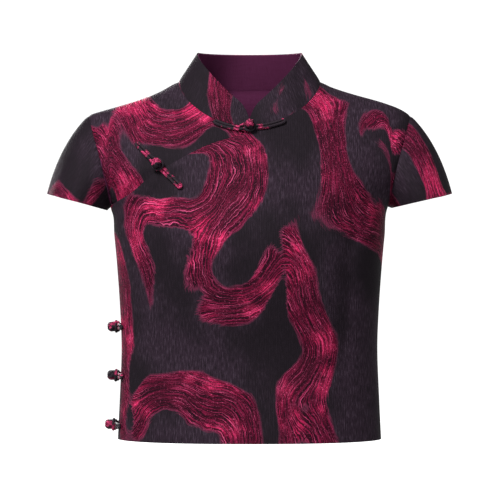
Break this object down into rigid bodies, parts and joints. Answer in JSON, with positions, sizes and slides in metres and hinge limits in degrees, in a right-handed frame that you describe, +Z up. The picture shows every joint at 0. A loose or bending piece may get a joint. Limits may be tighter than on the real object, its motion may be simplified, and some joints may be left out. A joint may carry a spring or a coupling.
{
  "type": "qipao crop top",
  "caption": "Short qipao top in dark jacquard with cap sleeves, a stand collar, a diagonal front opening and knotted frog fastenings, filled out as worn.",
  "frame": {"origin": "midway between the two points where the shoulder seams meet the collar, level with them, where the neck and shoulders of a wearer hold the top", "axes": "+Z up, the front faces -Y, +X is the wearer's left"},
  "size_m": [0.486, 0.2223, 0.4631],
  "materials": {
    "jacquard": "dark plum-black satin jacquard with crimson woven ribbons, fine ribbed ground, soft sheen",
    "plum_satin": "plain plum lining satin",
    "frog_cord": "bias cord of the same jacquard, black and crimson"
  },
  "bodies": {
    "root": {"front_panel": "jacquard", "underlap_panel": "jacquard", "back_panel": "jacquard", "sleeve_right": "jacquard", "sleeve_left": "jacquard", "collar_stand": "jacquard", "collar_lining": "plum_satin", "frog_neck_loop": "frog_cord", "frog_neck_button": "frog_cord", "frog_chest_loop": "frog_cord", "frog_chest_button": "frog_cord", "frog_side_1_loop": "frog_cord", "frog_side_1_button": "frog_cord", "frog_side_2_loop": "frog_cord", "frog_side_2_button": "frog_cord", "frog_side_3_loop": "frog_cord", "frog_side_3_button": "frog_cord"}
  },
  "joints": []
}
